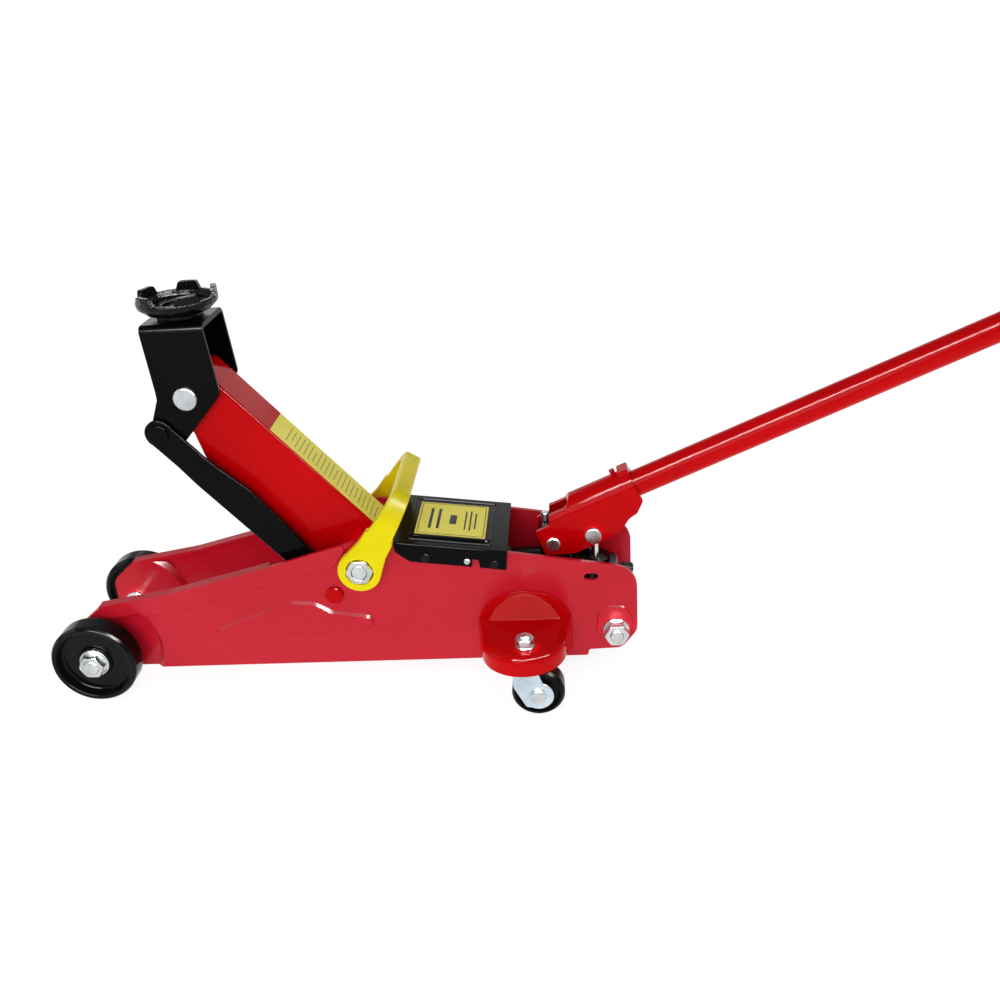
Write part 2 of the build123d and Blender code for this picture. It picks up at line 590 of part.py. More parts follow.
def saddle():
    """Cast dish with five blunt lugs round its rim, on a collar and stem."""
    base = BRACKET_TOP + GAP
    section = outline([
        (0, 268.0, 0), (STEM_R, 268.0, 0.6), (STEM_R, base, 0), (16.4, base, 0.8),
        (16.4, base + 3.4, 1), (22.5, base + 4.4, 3), (SADDLE_R - 0.6, base + 9.0, 3),
        (SADDLE_R, RIM_TOP, 1), (25.4, RIM_TOP, 0.8), (23.8, base + 8.8, 2), (0, base + 8.8, 0)])
    cup = revolve(Plane.XZ * section, Axis.Z)
    groove = post(0, 0, STEM_R + 1, 272.2, 274.0) - post(0, 0, STEM_R - 1.2, 272.2, 274.0)
    cup = cup - groove
    ring = post(0, 0, SADDLE_R - 0.3, RIM_TOP - 1, SADDLE_TOP) - post(0, 0, 24.9, 0, 400)
    ring = fillet(ring.edges().group_by(Axis.Z)[-1], 0.7)
    blunt = outline([(-9.2, RIM_TOP - 1, 0), (-6.6, SADDLE_TOP, 2.2), (6.6, SADDLE_TOP, 2.2),
                     (9.2, RIM_TOP - 1, 0)])
    for step in range(LUGS):
        wedge = Rot(0, 0, LUG_ANGLE + 90 + 360 / LUGS * step) * slab(blunt, -40, -10)
        cup = cup + (ring & wedge)
    recess = post(0, 0, 11.0, base + 7.2, base + 12)
    return Pos(SADDLE_X, 0, 0) * (cup - recess)


def saddle_clip():
    """Ring in the stem's groove, under the bracket."""
    ring = post(SADDLE_X, 0, 11.5, 272.3, 273.9) - post(SADDLE_X, 0, STEM_R - 1.15, 0, 400)
    return ring - Pos(SADDLE_X + 10, 0, 273) * Box(12, 5, 10)


# ---- hydraulic unit --------------------------------------------------------------------------
RAM_BACK = 300.0                # rear face of the piston, arm as drawn
BLOCK_HALF = 25.0
PUMP_X = PLUNGER_PIN[0]
PUMP_TOP = 77.0
PLUNGER_R = 4.1
SIDE_SCREW = (384.4, 82.5)


def ram_head():
    """Crosshead on the ram; its tall slot holds the arm's crank pin."""
    head = Pos(CRANK[0], 0, RAM_Z) * Box(28, 28, 38)
    head = fillet(head.edges().filter_by(Axis.Y), 6)
    slot = outline([(-7.7, -12.3, 5), (7.7, -12.3, 5), (7.7, 12.3, 5), (-7.7, 12.3, 5)])
    return head - slab(Pos(CRANK[0], RAM_Z) * slot, -30, 30)


def ram_rod():
    """Polished rod with its piston."""
    front = CRANK[0] + 14.0
    shaft = bar(RAM_Z, RAM_R, front, RAM_BACK)
    piston = bar(RAM_Z, BARREL_IN - FIT, RAM_BACK - 13, RAM_BACK)
    groove = bar(RAM_Z, BARREL_IN + 1, RAM_BACK - 8.5, RAM_BACK - 4.5)
    return shaft + (piston - (groove - bar(RAM_Z, BARREL_IN - 2.5, RAM_BACK - 9, RAM_BACK - 4)))


def piston_seal():
    ring = bar(RAM_Z, BARREL_IN - 0.03, RAM_BACK - 8.4, RAM_BACK - 4.6)
    return ring - bar(RAM_Z, BARREL_IN - 2.5, RAM_BACK - 9, RAM_BACK - 4)


def cylinder_barrel():
    """Inner tube that the piston runs in."""
    tube = bar(RAM_Z, BARREL_OUT, TANK_FRONT + 3, BLOCK_FRONT)
    return tube - bar(RAM_Z, BARREL_IN, TANK_FRONT, BLOCK_FRONT + 1)


def oil_tank():
    """Outer tube; the oil sits between it and the barrel."""
    tube = bar(RAM_Z, TANK_OUT, TANK_FRONT + 3, BLOCK_FRONT)
    plug_hole = post(316, 0, 4.5, RAM_Z + 20, RAM_Z + 40)
    return tube - bar(RAM_Z, TANK_IN, TANK_FRONT, BLOCK_FRONT + 1) - plug_hole


def tank_head():
    """Screwed front end that seals tank and barrel and guides the ram."""
    flange = bar(RAM_Z, TANK_OUT + 0.6, TANK_FRONT - 4, TANK_FRONT + 3)
    flange = chamfer(flange.edges().group_by(Axis.X)[0], 1.4)
    nose = bar(RAM_Z, 15.5, TANK_FRONT - 5.0, TANK_FRONT)
    spigot = bar(RAM_Z, BARREL_IN, TANK_FRONT + 3, TANK_FRONT + 11)
    head = flange + nose + spigot
    for turn in (30, 150, 270):
        y, z = 21.5 * cos(radians(turn)), 21.5 * sin(radians(turn))
        head = head - bar(RAM_Z + z, 2.4, TANK_FRONT - 8, TANK_FRONT - 0.5, y)
    return head - bar(RAM_Z, RAM_R + FIT, 0, 400)


def filler_plug():
    """Rubber plug pushed into the top of the tank."""
    stem = post(316, 0, 4.5, RAM_Z + 23, RAM_Z + TANK_OUT - 0.1)
    cap = post(316, 0, 7.0, RAM_Z + TANK_OUT - 0.1, RAM_Z + TANK_OUT + 2.2)
    cap = fillet(cap.edges().group_by(Axis.Z)[-1], 0.9)
    return (stem + cap) - bar(RAM_Z, TANK_OUT, 200, 400) + stem


def power_block():
    """Casting at the rear: pump, valves, handle lug and the rear mounting."""
    body = outline([(BLOCK_FRONT, 30.0, 3), (BLOCK_FRONT, 86.2, 2), (353.0, 86.2, 2),
                    (357.0, 81.5, 3), (370.0, 80.5, 3), (373.0, 72.0, 2), (393.0, 72.0, 2),
                    (BLOCK_REAR, 66.0, 2), (BLOCK_REAR, 50.0, 2),
                    (413.0, 47.0, 5), (413.0, 26.0, 9), (391.0, 26.0, 6), (380.0, 30.0, 6)])
    block = slab(body, -BLOCK_HALF, BLOCK_HALF)
    lug_face = outline([(346.0, 86.6, 0), (344.5, 104.0, 6), (349.0, 112.0, 3),
                        (358.0, 112.0, 5), (366.0, 98.0, 6), (369.0, 79.0, 0), (350.0, 79.0, 0),
                        (350.0, 86.6, 0)])
    lug = slab(lug_face, -9.5, 9.5)
    ear = outline([(377.5, 70.0, 0), (377.5, 87.0, 4), (391.5, 87.0, 4), (391.5, 70.0, 0)])
    seat_face = outline([(397.4, 60.0, 0), (398.2, 75.6, 1), (BLOCK_REAR, 74.2, 2),
                         (BLOCK_REAR, 60.0, 0)])
    block = block + slab(seat_face, -9.0, 9.0)
    block = block + lug + slab(ear, -BLOCK_HALF, -EAR_IN) + slab(ear, EAR_IN, BLOCK_HALF)
    block = block - rod(*SOCKET_PIVOT, SOCKET_PIN_R, -60, 60)
    block = block - rod(*REAR_BOLT, REAR_R, -60, 60)
    block = block - rod(*SIDE_SCREW, 2.2, -BLOCK_HALF - 1, -15) - rod(*SIDE_SCREW, 2.2, 15, 60)
    block = block - post(PUMP_X, 0, 9.0, 50, 80) - post(350.6, 0, 2.2, 106, 120)
    valve = valve_bore()
    return block - valve


SOCKET_PIN_R = 4.6
EAR_IN = 14.7                   # inner faces of the block's two ears
VALVE_SEAT = (396.3, 68.4)      # inner end of the release valve's spindle
VALVE_TILT = -8.0


def along_valve(shape):
    """Place a shape that stands along +Z onto the release valve's axis."""
    return Pos(VALVE_SEAT[0], 0, VALVE_SEAT[1]) * Rot(0, 90 - VALVE_TILT, 0) * shape


def valve_bore():
    return along_valve(Cylinder(4.0 + FIT, 60, align=(Align.CENTER, Align.CENTER, Align.MIN)))


def release_valve():
    """Threaded spindle with a knurled head and a cross slot for the handle's end."""
    stand = (Align.CENTER, Align.CENTER, Align.MIN)
    spindle = Pos(0, 0, 0.5) * Cylinder(4.0, 10.5, align=stand)
    head = Pos(0, 0, 10.4) * Cylinder(5.6, 10.0, align=stand)
    head = chamfer(head.edges().group_by(Axis.Z)[-1], 1.0)
    slot = Pos(0, 0, 19.2) * Box(1.9, 20, 4.4)
    cross = Pos(0, 0, 19.2) * Box(20, 1.9, 4.4)
    head = head - slot - cross
    for step in range(12):
        head = head - Rot(0, 0, 30 * step + 15) * Pos(5.9, 0, 16) * Cylinder(0.8, 20)
    return along_valve(spindle + head)


def pump_cylinder():
    """Screwed-in sleeve of the pump, with its hexagon showing."""
    sleeve = post(PUMP_X, 0, 9.0, 50, 74.0)
    collar = Pos(PUMP_X, 0, 74.0) * hex_prism(19.0, PUMP_TOP - 74.0)
    return sleeve + collar - post(PUMP_X, 0, PLUNGER_R + FIT, 52, 100)


def pump_plunger():
    """Plunger with a flat eye, slotted for the socket's drive pin."""
    top = PLUNGER_PIN[1]
    stem = post(PUMP_X, 0, PLUNGER_R, 70 - 8, top - 4)
    eye_face = outline([(-11.5, -8.2, 3), (11.5, -8.2, 3), (11.5, 8.2, 6), (-11.5, 8.2, 6)])
    eye = slab(Pos(PUMP_X - 2.2, top) * eye_face, -7, 7)
    slot = Pos(PUMP_X - 2.2, top) * SlotOverall(17.0, 10.0)
    return stem + eye - slab(slot, -20, 20)


def vent_screw():
    """Small screw in the top of the handle lug."""
    screw = post(350.6, 0, 2.2, 106.2, 114) + post(350.6, 0, 3.0, 112, 119.2)
    screw = chamfer(screw.edges().group_by(Axis.Z)[-1], 0.8)
    return screw - Pos(350.6, 0, 119.2) * Box(1.1, 20, 2.0)


def unit_side_screws():
    """Screws through the slots of the side plates into the power block."""
    shank = rod(*SIDE_SCREW, 2.2, -FRAME_OUT + 1.2, -15.5)
    shank = chamfer(shank.edges().group_by(Axis.Y)[0], 0.5)
    return shank + mirrored(shank)


def socket_pivot_pin():
    """Pin through the power block's lug and the socket's wings."""
    half = SOCKET_OUT
    pin = rod(*SOCKET_PIVOT, SOCKET_PIN_R, -half - 1.2, half + 1.2)
    head = rod(*SOCKET_PIVOT, 5.4, -half - 2.0, -half - GAP)
    head = chamfer(head.edges().group_by(Axis.Y)[0], 0.8)
    return pin + head + mirrored(head)


# ---- handle ------------------------------------------------------------------------------------
def along_handle(shape):
    """Place a shape that stands along +Z onto the handle's centre line."""
    return Pos(HANDLE_START[0], 0, HANDLE_START[1]) * Rot(0, 90 - HANDLE_TILT, 0) * shape


def in_handle_frame(face):
    """Place a sketch drawn in (along the handle, above it) into the X-Z plane."""
    return Pos(*HANDLE_START) * Rot(0, 0, HANDLE_TILT) * face


def handle_socket():
    """Folded plate: round over the handle, with two flat wings down to the pins."""
    outer = Circle(SOCKET_OUT) + Pos(0, -30) * Rectangle(2 * SOCKET_OUT, 60)
    inner_r = HANDLE_R + 0.25
    inner = Circle(inner_r) + Pos(0, -31) * Rectangle(2 * inner_r, 62)
    fold = Pos(0, 0, -100) * Rot(0, 0, 90) * extrude(outer - inner, 92)
    side = outline([
        (-94.1, 1.5, 1.5), (-82.7, 1.5, 2), (-80.0, 8.0, 1), (-66.0, 8.0, 5), (-57.0, 18.0, 0),
        (-12.2, 18.0, 0), (-11.4, -4.0, 0), (-10.6, -9.5, 4), (-19.0, -17.2, 4),
        (-26.2, -18.6, 2), (-36.0, -25.6, 5), (-54.0, -27.4, 12), (-74.0, -28.0, 14),
        (-96.0, -20.4, 4)])
    socket = along_handle(fold) & slab(in_handle_frame(side), -30, 30)
    pad = Pos(SOCKET_OUT + 0.4, 0) * Box(4.4, 12.5, 8.6)
    pad = fillet(pad.edges().filter_by(Axis.Y), 1.6)
    socket = socket + along_handle(Pos(0, 0, -16.2) * Rot(0, 0, 180) * pad)
    socket = socket - along_handle(Pos(0, 0, CLAMP_AT) * Rot(0, -90, 0) * Cylinder(
        CLAMP_R, 60, align=(Align.CENTER, Align.CENTER, Align.MIN)))
    socket = socket - rod(*SOCKET_PIVOT, SOCKET_PIN_R + FIT, -60, 60)
    return socket - rod(*PLUNGER_PIN, DRIVE_PIN_R, -60, 60)


DRIVE_PIN_R = 4.4


CLAMP_AT = -23.6                # clamp screw, along the handle from HANDLE_START
CLAMP_R = 2.0


def clamp_screw():
    """Slotted grub screw that grips the handle in its socket."""
    reach = HANDLE_R + 0.05
    shank = Cylinder(CLAMP_R, 8.5, align=(Align.CENTER, Align.CENTER, Align.MIN))
    shank = chamfer(shank.edges().group_by(Axis.Z)[-1], 0.4)
    shank = shank - Pos(0, 0, 8.3) * Box(0.9, 10, 2.0)
    return along_handle(Pos(-reach, 0, CLAMP_AT) * Rot(0, -90, 0) * shank)


def drive_pin():
    """Pin between the wings, working in the plunger's slot."""
    pin = rod(*PLUNGER_PIN, DRIVE_PIN_R, -SOCKET_OUT, SOCKET_OUT)
    head = rod(*PLUNGER_PIN, 6.2, -SOCKET_OUT - 2.4, -SOCKET_OUT)
    head = fillet(head.edges().group_by(Axis.Y)[0], 0.9)
    return pin + head + mirrored(head)


def handle_lower_tube():
    """Lower half of the handle, its inner end in the socket."""
    stand = (Align.CENTER, Align.CENTER, Align.MIN)
    tube = Pos(0, 0, -HANDLE_IN) * Cylinder(HANDLE_R, HANDLE_IN + LOWER_TUBE, align=stand)
    bore = Pos(0, 0, -HANDLE_IN - 1) * Cylinder(HANDLE_R - 1.6, 800, align=stand)
    return along_handle(tube - bore)


def handle_upper_tube():
    """Upper half: its necked end slides into the lower tube."""
    stand = (Align.CENTER, Align.CENTER, Align.MIN)
    tube = Pos(0, 0, LOWER_TUBE) * Cylinder(HANDLE_R, HANDLE_LENGTH - LOWER_TUBE - 3, align=stand)
    neck = Pos(0, 0, LOWER_TUBE - 38) * Cylinder(HANDLE_R - 1.6, 39, align=stand)
    bore = Pos(0, 0, LOWER_TUBE - 40) * Cylinder(HANDLE_R - 3.2, 400, align=stand)
    return along_handle(tube + neck - bore)


def handle_grip():
    """Ribbed sleeve with a closed end."""
    stand = (Align.CENTER, Align.CENTER, Align.MIN)
    start = HANDLE_LENGTH - GRIP_LENGTH
    grip = Pos(0, 0, start) * Cylinder(GRIP_R, GRIP_LENGTH, align=stand)
    grip = fillet(grip.edges().group_by(Axis.Z)[-1], 5)
    grip = fillet(grip.edges().group_by(Axis.Z)[0], 1.2)
    for step in range(9):
        ring_z = start + 16 + 8.5 * step
        ring = Pos(0, 0, ring_z) * (Cylinder(GRIP_R + 1, 3) - Cylinder(GRIP_R - 1.1, 3))
        grip = grip - ring
    hollow = Pos(0, 0, start - 1) * Cylinder(HANDLE_R, GRIP_LENGTH - 2, align=stand)
    return along_handle(grip - hollow)


# ---- cover and bail ---------------------------------------------------------------------------
COVER = ((239.2, 118.9), (322.6, 107.6))       # front and rear of its top, at the outer face
COVER_OUT = 41.6
COVER_SHEET = 1.5


def cover_frame(face, lift=0.0):
    """Place a sketch drawn in (along, across) onto the cover's sloping top."""
    (x0, z0), (x1, z1) = COVER
    tilt = degrees(atan2(z1 - z0, x1 - x0))
    plane = Plane(origin=(x0, 0, z0), x_dir=(cos(radians(tilt)), 0, sin(radians(tilt))),
                  z_dir=(-sin(radians(tilt)), 0, cos(radians(tilt))))
    return plane.offset(lift) * face


COVER_LENGTH = hypot(COVER[1][0] - COVER[0][0], COVER[1][1] - COVER[0][1])


def cover_plate():
    """Pressed cover over the hydraulic unit, with side flanges and a raised panel."""
    (x0, z0), (x1, z1) = COVER
    top = extrude(cover_frame(Pos(COVER_LENGTH / 2, 0) * Rectangle(COVER_LENGTH, 2 * COVER_OUT)),
                  -COVER_SHEET)
    side = outline([(x0, z0, 0), (x1, z1, 0), (x1 - 1.6, 92.4, 1), (301.6, 95.3, 1),
                    (301.2, 102.0, 1.2), (296.2, 102.7, 1.2), (295.9, 96.1, 0.8), (250.0, 102.4, 9),
                    (x0 + 0.6, 110.8, 2)])
    flange = slab(side, -COVER_OUT, -COVER_OUT + COVER_SHEET)
    cover = top + flange + mirrored(flange)
    bends = [e for e in cover.edges() if e.length > 70 and abs(e.center().Y) > COVER_OUT - 0.1
             and abs(e.center().Z - (z0 + z1) / 2) < 1.5]
    cover = fillet(bends, 1.3)
    panel = Pos(COVER_LENGTH * 0.48, 0) * RectangleRounded(61, 60, 4)
    raised = extrude(cover_frame(panel), 1.3, taper=40)
    hollow = extrude(cover_frame(panel, -COVER_SHEET), 1.3, taper=40)
    cover = cover - hollow + raised
    for across in (-34.2, 34.2):
        groove = Pos(COVER_LENGTH * 0.49, across) * SlotOverall(63, 4.6)
        cover = cover - extrude(cover_frame(groove, 0.01), -1.0, taper=30)
    for x, z, _ in COVER_SCREWS:
        cover = cover - rod(x, z, 1.9, -60, 60)
    return cover


COVER_SCREWS = ((262.0, 105.2, 3.6), (312.6, 97.4, 3.6), (292.6, 101.0, 2.4))


def cover_screws():
    """Two self-tapping screws and a rivet on each side."""
    group = None
    for x, z, radius in COVER_SCREWS:
        shank = rod(x, z, 1.9, -COVER_OUT, -FRAME_OUT)
        head = rod(x, z, radius, -COVER_OUT - 1.1, -COVER_OUT)
        head = fillet(head.edges().group_by(Axis.Y)[0], 0.8)
        screw = shank + head
        group = screw if group is None else group + screw
    return group + mirrored(group)


def cover_label():
    """Plain label on the cover's raised panel."""
    face = Pos(COVER_LENGTH * 0.48, 0) * Rectangle(53, 53)
    return extrude(cover_frame(face, 1.3), 0.3)


def carry_bail():
    """Moulded bail: two rings on the main bolt, tapering arms and a cross grip."""
    half = outline([(-BAIL_OUT, -20, 0), (-BAIL_OUT, BAIL_R, 24), (BAIL_OUT, BAIL_R, 24),
                    (BAIL_OUT, -20, 0)])
    inside = outline([(-BAIL_IN, -20, 0), (-BAIL_IN, BAIL_R - 10, 16), (BAIL_IN, BAIL_R - 10, 16),
                      (BAIL_IN, -20, 0)])
    loop = half - inside
    plane = Plane(origin=(PIVOT[0], 0, PIVOT[1]), x_dir=(0, 1, 0),
                  z_dir=(sin(radians(BAIL_TILT)), 0, -cos(radians(BAIL_TILT))))
    band = extrude(plane * loop, 24, both=True)
    arm = outline([(6.0, -15.0, 0), (6.0, 15.0, 0), (20.0, 11.8, 4), (32.5, 10.8, 0.6),
                   (33.3, 9.4, 0.6), (BAIL_R, 6.2, 5.5), (BAIL_R, -6.2, 5.5), (33.3, -9.4, 0.6),
                   (32.5, -10.8, 0.6), (20.0, -11.8, 4)])
    side = arm + Circle(16.2)
    placed = Pos(*PIVOT) * Rot(0, 0, BAIL_TILT) * side
    bail = band & slab(placed, -60, 60)
    bore = rod(*PIVOT, BOLT_R + FIT, -60, 60)
    seat = rod(*PIVOT, 10.5, -BAIL_OUT - 1, -BAIL_IN - 1.6)
    boss = rod(*PIVOT, 12.5, -BAIL_IN - 1, -FRAME_OUT - GAP)
    return bail + boss + mirrored(boss) - bore - seat - mirrored(seat)


def main():
    os.makedirs("parts", exist_ok=True)
    for side in SIDES:
        name = SIDE_NAMES[side]
        put(f"side_plate_{name}", on_side(side_plate(), side))
        put(f"caster_bracket_{name}", on_side(caster_bracket(), side))
        put(f"caster_fork_{name}", on_side(caster_fork(), side))
        put(f"caster_axle_{name}", on_side(caster_axle(), side))
        put(f"caster_wheel_{name}", on_side(caster_wheel(), side))
        put(f"front_wheel_{name}", on_side(front_wheel(), side))
        put(f"link_{name}", on_side(link(), side))
    singles = (front_axle, axle_nuts, main_pivot_bolt, main_pivot_nut, pivot_spacers, link_rivets,
               rear_tie, rear_tie_nut, rear_tie_sleeves, caster_rivets, king_bolts, king_nuts,
               caster_races, lift_arm, arm_pivot_tube, crank_pin, arm_label, saddle_bracket,
               arm_tip_pin, link_tip_pins, saddle, saddle_clip, ram_head, ram_rod, piston_seal,
               cylinder_barrel, oil_tank, tank_head, filler_plug, power_block, release_valve,
               pump_cylinder, pump_plunger, vent_screw, unit_side_screws, socket_pivot_pin,
               handle_socket, clamp_screw, drive_pin, handle_lower_tube, handle_upper_tube,
               handle_grip, cover_plate, cover_screws, cover_label, carry_bail)
    for make in singles:
        put(make.__name__, make())


if __name__ == "__main__":
    main()
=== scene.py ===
"""Hydraulic trolley jack: materials, detailed pieces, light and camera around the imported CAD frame."""
import json
from math import cos, pi, radians, sin

import bmesh
import bpy
from mathutils import Matrix, Vector


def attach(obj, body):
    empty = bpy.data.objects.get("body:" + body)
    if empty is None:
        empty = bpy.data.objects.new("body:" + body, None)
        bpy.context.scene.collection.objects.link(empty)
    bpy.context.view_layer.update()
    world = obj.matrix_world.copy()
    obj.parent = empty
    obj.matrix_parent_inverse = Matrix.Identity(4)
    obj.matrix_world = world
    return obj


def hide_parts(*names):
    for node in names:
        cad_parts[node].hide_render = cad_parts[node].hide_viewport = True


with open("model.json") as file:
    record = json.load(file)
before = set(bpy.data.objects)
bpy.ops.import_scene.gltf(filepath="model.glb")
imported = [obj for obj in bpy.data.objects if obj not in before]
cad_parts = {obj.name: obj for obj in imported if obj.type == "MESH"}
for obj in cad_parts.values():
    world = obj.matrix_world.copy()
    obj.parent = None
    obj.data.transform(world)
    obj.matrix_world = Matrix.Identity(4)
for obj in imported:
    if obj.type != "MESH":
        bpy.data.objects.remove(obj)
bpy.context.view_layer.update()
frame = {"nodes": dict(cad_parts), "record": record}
NODES = frame["nodes"]
BODY_OF = {n: b for b, names in frame["record"]["behaviour"]["bodies"].items() for n in names}

AXLE_X = -428.476                # front axle's x in the row frame, mm
ARM_PIVOT = (213.3, 99.5)        # main pivot's x and z from the front axle, mm
MERGE = 0.00002                  # vertices of a CAD mesh closer than this are one


def at(x, y, z):
    """Row-frame metres from millimetres measured at the front axle, on the ground."""
    return Vector(((x + AXLE_X) / 1000, y / 1000, z / 1000))


# ---------------------------------------------------------------- materials
class Graph:
    """A material's node tree, with short calls for the few nodes used here."""

    def __init__(self, name):
        self.material = bpy.data.materials.new(name)
        self.material.use_nodes = True
        self.tree = self.material.node_tree
        self.shader = self.tree.nodes["Principled BSDF"]
        self.space = self.tree.nodes.new("ShaderNodeTexCoord").outputs["Object"]

    def node(self, kind, **sockets):
        made = self.tree.nodes.new(kind)
        for key, value in sockets.items():
            socket = made.inputs[key.replace("_", " ")]
            if isinstance(value, bpy.types.NodeSocket):
                self.tree.links.new(value, socket)
            else:
                socket.default_value = value
        return made

    def noise(self, scale, detail=3.0):
        made = self.node("ShaderNodeTexNoise", Vector=self.space, Scale=scale, Detail=detail)
        return made.outputs["Fac"]

    def ramp(self, fac, stops):
        made = self.node("ShaderNodeValToRGB", Fac=fac)
        for element, (place, colour) in zip(made.color_ramp.elements, stops):
            element.position = place
            element.color = (*colour, 1.0)
        return made.outputs["Color"]

    def levels(self, fac, low, high):
        return self.node("ShaderNodeMapRange", Value=fac, From_Min=0.3, From_Max=0.7,
                         To_Min=low, To_Max=high).outputs["Result"]

    def bump(self, height, strength, distance, under=None):
        made = self.node("ShaderNodeBump", Height=height, Strength=strength, Distance=distance)
        if under:
            self.tree.links.new(under, made.inputs["Normal"])
        return made.outputs["Normal"]

    def set(self, **sockets):
        for key, value in sockets.items():
            socket = self.shader.inputs[key.replace("_", " ")]
            if isinstance(value, bpy.types.NodeSocket):
                self.tree.links.new(value, socket)
            else:
                socket.default_value = value
        return self.material


def paint(name, dark, light, rough, peel, gloss=0.25):
    """Sprayed gloss paint: slight tone drift and orange peel."""
    g = Graph(name)
    tone = g.ramp(g.noise(14.0), [(0.35, dark), (0.65, light)])
    rough_map = g.levels(g.noise(60.0, 4.0), rough * 0.8, rough * 1.25)
    skin = g.bump(g.noise(420.0, 2.0), peel, 0.0004)
    return g.set(Base_Color=tone, Roughness=rough_map, Normal=skin, Specular_IOR_Level=gloss)


def casting(name, dark, light, rough, gloss=0.16):
    """Painted sand casting: coarse skin under thin paint."""
    g = Graph(name)
    tone = g.ramp(g.noise(90.0, 4.0), [(0.35, dark), (0.65, light)])
    rough_map = g.levels(g.noise(220.0, 3.0), rough * 0.75, rough * 1.3)
    coarse = g.bump(g.noise(260.0, 5.0), 0.5, 0.0016)
    skin = g.bump(g.noise(1300.0, 3.0), 0.3, 0.0003, coarse)
    return g.set(Base_Color=tone, Roughness=rough_map, Normal=skin, Specular_IOR_Level=gloss)


def metal(name, dark, light, rough, strength=0.12):
    """Plated or ground steel."""
    g = Graph(name)
    tone = g.ramp(g.noise(70.0, 4.0), [(0.35, dark), (0.65, light)])
    rough_map = g.levels(g.noise(160.0, 4.0), rough * 0.7, rough * 1.35)
    skin = g.bump(g.noise(900.0, 3.0), strength, 0.0002)
    return g.set(Base_Color=tone, Metallic=1.0, Roughness=rough_map, Normal=skin)


def plastic(name, dark, light, rough, grain=700.0, strength=0.12, gloss=0.3):
    """Moulded plastic or rubber."""
    g = Graph(name)
    tone = g.ramp(g.noise(40.0, 3.0), [(0.35, dark), (0.65, light)])
    rough_map = g.levels(g.noise(90.0, 3.0), rough * 0.85, rough * 1.2)
    skin = g.bump(g.noise(grain, 2.0), strength, 0.0003)
    return g.set(Base_Color=tone, Roughness=rough_map, Normal=skin, Specular_IOR_Level=gloss)


MATERIALS = {
    "red_paint": paint("red_paint", (0.50, 0.0006, 0.0018), (0.57, 0.0010, 0.0028), 0.09, 0.03, 0.06),
    "black_paint": paint("black_paint", (0.0012, 0.0012, 0.0015), (0.0024, 0.0024, 0.0028), 0.16,
                         0.05, 0.06),
    "cast_black": casting("cast_black", (0.0015, 0.0015, 0.0015), (0.0035, 0.0035, 0.0035), 0.13, 0.16),
    "zinc": metal("zinc", (0.42, 0.44, 0.44), (0.60, 0.62, 0.62), 0.27),
    "rivet_steel": metal("rivet_steel", (0.38, 0.40, 0.41), (0.50, 0.52, 0.53), 0.3),
    "bright_zinc": metal("bright_zinc", (0.46, 0.55, 0.62), (0.58, 0.67, 0.74), 0.24),
    "polished_steel": metal("polished_steel", (0.62, 0.62, 0.62), (0.72, 0.72, 0.72), 0.12,
                            strength=0.05),
    "wheel_black": plastic("wheel_black", (0.002, 0.0022, 0.0026), (0.004, 0.0045, 0.005), 0.16,
                           gloss=0.12),
    "wheel_plastic": plastic("wheel_plastic", (0.002, 0.002, 0.0024), (0.004, 0.004, 0.0045), 0.24,
                             gloss=0.08),
    "bail_yellow": plastic("bail_yellow", (0.76, 0.64, 0.001), (0.84, 0.71, 0.002), 0.3,
                           gloss=0.08),
    "label_yellow": plastic("label_yellow", (0.97, 0.86, 0.13), (1.0, 0.90, 0.15), 0.42,
                            gloss=0.08),
    "seal_rubber": plastic("seal_rubber", (0.008, 0.008, 0.008), (0.014, 0.014, 0.014), 0.6),
    "grip_rubber": plastic("grip_rubber", (0.004, 0.004, 0.004), (0.009, 0.009, 0.009), 0.5, 1600.0,
                           0.3, 0.15),
}
# The frame's plates get a slightly pinker red than the arm and the handle; the paint is the same, and
# the extra pink is painted reflection standing in for the plates' pale sheen.
PLATE_RED_PAINTED_SHEEN = paint("plate_red_painted_sheen", (0.52, 0.006, 0.018), (0.58, 0.009, 0.026), 0.2, 0.04, 0.22)
PLATES_WITH_PAINTED_SHEEN = ("side_plate_left", "side_plate_right")
SLOT_OF = {row["node"]: row["material_slot"] for row in frame["record"]["subparts"]}


def finish_for(name):
    # The side plates take the red whose extra pink is painted reflection.
    return PLATE_RED_PAINTED_SHEEN if name in PLATES_WITH_PAINTED_SHEEN else MATERIALS[SLOT_OF[name]]


for name, obj in NODES.items():
    obj.data.materials.clear()
    obj.data.materials.append(finish_for(name))


# ---------------------------------------------------------------- detailed pieces
def add_piece(name, mesh, body, material):
    mesh.materials.clear()
    mesh.materials.append(material)
    made = bpy.data.objects.new(name, mesh)
    bpy.context.scene.collection.objects.link(made)
    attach(made, body)
    return made


FLAT = radians(0.4)              # faces that meet at less than this are one face
HARD = radians(50)               # edges sharper than this are eased
CREASE = radians(34)             # edges sharper than this stay sharp in the shading
REJOIN = 0.000002                # vertices this close after the ease are one
SHORTEST = 0.6                   # edges shorter than this many ease widths are left alone


